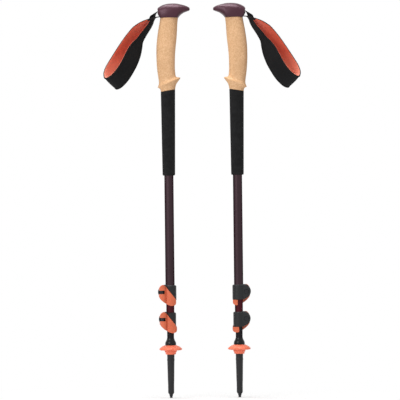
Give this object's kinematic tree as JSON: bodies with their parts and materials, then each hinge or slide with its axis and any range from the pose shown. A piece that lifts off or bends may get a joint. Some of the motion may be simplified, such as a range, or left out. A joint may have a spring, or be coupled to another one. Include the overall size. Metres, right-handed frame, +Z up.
{
  "type": "pair of trekking poles",
  "caption": "Telescopic trekking poles with beaked caps, cork and foam grips, padded wrist straps, cam-lever clamps, baskets and hard points, folded short.",
  "frame": {"origin": "on the ground, midway between the points of the two poles, which stand upright", "axes": "+Z up along the shafts, +X from the left pole to the right one as the picture shows them, +Y away from the viewer; the left pole's lever side faces -Y and the right pole's faces +Y"},
  "size_m": [0.346, 0.048, 0.69],
  "materials": {
    "cap": "satin plum plastic",
    "cork": "matt granulated cork",
    "foam": "matt closed-cell foam",
    "steel": "turned",
    "dark_steel": "blackened",
    "black_plastic": "satin black",
    "orange_plastic": "satin coral orange",
    "tip_plastic": "satin dark grey",
    "webbing": "woven webbing",
    "strap_outer": "woven black",
    "strap_lining": "brushed orange lining",
    "upper_tube": "satin dark plum anodising",
    "middle_tube": "satin maroon anodising",
    "lower_tube": "satin black anodising"
  },
  "bodies": {
    "left_grip_body": {"left_cap": "cap", "left_cork_grip": "cork", "left_foam_sleeve": "foam", "left_strap_pin": "steel", "left_strap_wedge": "black_plastic", "left_strap_webbing": "webbing", "left_upper_shaft": "upper_tube", "left_upper_clamp": "black_plastic", "left_upper_barrel_nut": "dark_steel", "left_upper_washer": "black_plastic"},
    "left_strap_body": {"left_strap_band": "strap_outer", "left_strap_lining": "strap_lining"},
    "left_upper_lever_body": {"left_upper_lever": "orange_plastic"},
    "left_upper_screw_body": {"left_upper_screw": "dark_steel"},
    "left_middle_body": {"left_middle_plug": "black_plastic", "left_middle_shaft": "middle_tube", "left_lower_clamp": "black_plastic", "left_lower_barrel_nut": "dark_steel", "left_lower_washer": "black_plastic"},
    "left_lower_lever_body": {"left_lower_lever": "orange_plastic"},
    "left_lower_screw_body": {"left_lower_screw": "dark_steel"},
    "left_lower_body": {"left_lower_plug": "black_plastic", "left_lower_shaft": "lower_tube", "left_tip": "tip_plastic", "left_tip_ferrule": "dark_steel", "left_hard_point": "dark_steel"},
    "left_basket_body": {"left_basket": "orange_plastic"},
    "right_grip_body": {"right_cap": "cap", "right_cork_grip": "cork", "right_foam_sleeve": "foam", "right_strap_pin": "steel", "right_strap_wedge": "black_plastic", "right_strap_webbing": "webbing", "right_upper_shaft": "upper_tube", "right_upper_clamp": "black_plastic", "right_upper_barrel_nut": "dark_steel", "right_upper_washer": "black_plastic"},
    "right_strap_body": {"right_strap_band": "strap_outer", "right_strap_lining": "strap_lining"},
    "right_upper_lever_body": {"right_upper_lever": "orange_plastic"},
    "right_upper_screw_body": {"right_upper_screw": "dark_steel"},
    "right_middle_body": {"right_middle_plug": "black_plastic", "right_middle_shaft": "middle_tube", "right_lower_clamp": "black_plastic", "right_lower_barrel_nut": "dark_steel", "right_lower_washer": "black_plastic"},
    "right_lower_lever_body": {"right_lower_lever": "orange_plastic"},
    "right_lower_screw_body": {"right_lower_screw": "dark_steel"},
    "right_lower_body": {"right_lower_plug": "black_plastic", "right_lower_shaft": "lower_tube", "right_tip": "tip_plastic", "right_tip_ferrule": "dark_steel", "right_hard_point": "dark_steel"},
    "right_basket_body": {"right_basket": "orange_plastic"}
  },
  "joints": [
    {"name": "left_strap_swing", "type": "hinge", "parent": "left_grip_body", "child": "left_strap_body", "pos_m": [-0.088, 0, 0.6605], "axis": [0, 1, 0], "range_deg": [-16, 30]},
    {"name": "left_upper_lever_open", "type": "hinge", "parent": "left_grip_body", "child": "left_upper_lever_body", "pos_m": [-0.0736, -0.0119, 0.185], "axis": [0, 0, -1], "range_deg": [0, 110]},
    {"name": "left_upper_screw_turn", "type": "hinge", "parent": "left_grip_body", "child": "left_upper_screw_body", "pos_m": [-0.0736, 0, 0.185], "axis": [0, 1, 0], "continuous": true},
    {"name": "left_middle_slide", "type": "slide", "parent": "left_middle_body", "child": "left_grip_body", "axis": [0, 0, 1], "range_m": [0, 0.35]},
    {"name": "left_lower_lever_open", "type": "hinge", "parent": "left_middle_body", "child": "left_lower_lever_body", "pos_m": [-0.0726, -0.0119, 0.1375], "axis": [0, 0, -1], "range_deg": [0, 110]},
    {"name": "left_lower_screw_turn", "type": "hinge", "parent": "left_middle_body", "child": "left_lower_screw_body", "pos_m": [-0.0726, 0, 0.1375], "axis": [0, 1, 0], "continuous": true},
    {"name": "left_lower_slide", "type": "slide", "parent": "left_lower_body", "child": "left_middle_body", "axis": [0, 0, 1], "range_m": [0, 0.35]},
    {"name": "left_basket_off", "type": "slide", "parent": "left_lower_body", "child": "left_basket_body", "axis": [0, 0, -1], "range_m": [0, 0.07]},
    {"name": "right_pole_lift", "type": "slide", "parent": "left_lower_body", "child": "right_lower_body", "axis": [0, 0, 1], "range_m": [0, 0.3]},
    {"name": "right_strap_swing", "type": "hinge", "parent": "right_grip_body", "child": "right_strap_body", "pos_m": [0.088, 0, 0.6605], "axis": [0, -1, 0], "range_deg": [-16, 30]},
    {"name": "right_upper_lever_open", "type": "hinge", "parent": "right_grip_body", "child": "right_upper_lever_body", "pos_m": [0.0736, 0.0119, 0.185], "axis": [0, 0, -1], "range_deg": [0, 110]},
    {"name": "right_upper_screw_turn", "type": "hinge", "parent": "right_grip_body", "child": "right_upper_screw_body", "pos_m": [0.0736, 0, 0.185], "axis": [0, -1, 0], "continuous": true},
    {"name": "right_middle_slide", "type": "slide", "parent": "right_middle_body", "child": "right_grip_body", "axis": [0, 0, 1], "range_m": [0, 0.35]},
    {"name": "right_lower_lever_open", "type": "hinge", "parent": "right_middle_body", "child": "right_lower_lever_body", "pos_m": [0.0726, 0.0119, 0.1375], "axis": [0, 0, -1], "range_deg": [0, 110]},
    {"name": "right_lower_screw_turn", "type": "hinge", "parent": "right_middle_body", "child": "right_lower_screw_body", "pos_m": [0.0726, 0, 0.1375], "axis": [0, -1, 0], "continuous": true},
    {"name": "right_lower_slide", "type": "slide", "parent": "right_lower_body", "child": "right_middle_body", "axis": [0, 0, 1], "range_m": [0, 0.35]},
    {"name": "right_basket_off", "type": "slide", "parent": "right_lower_body", "child": "right_basket_body", "axis": [0, 0, -1], "range_m": [0, 0.07]}
  ]
}
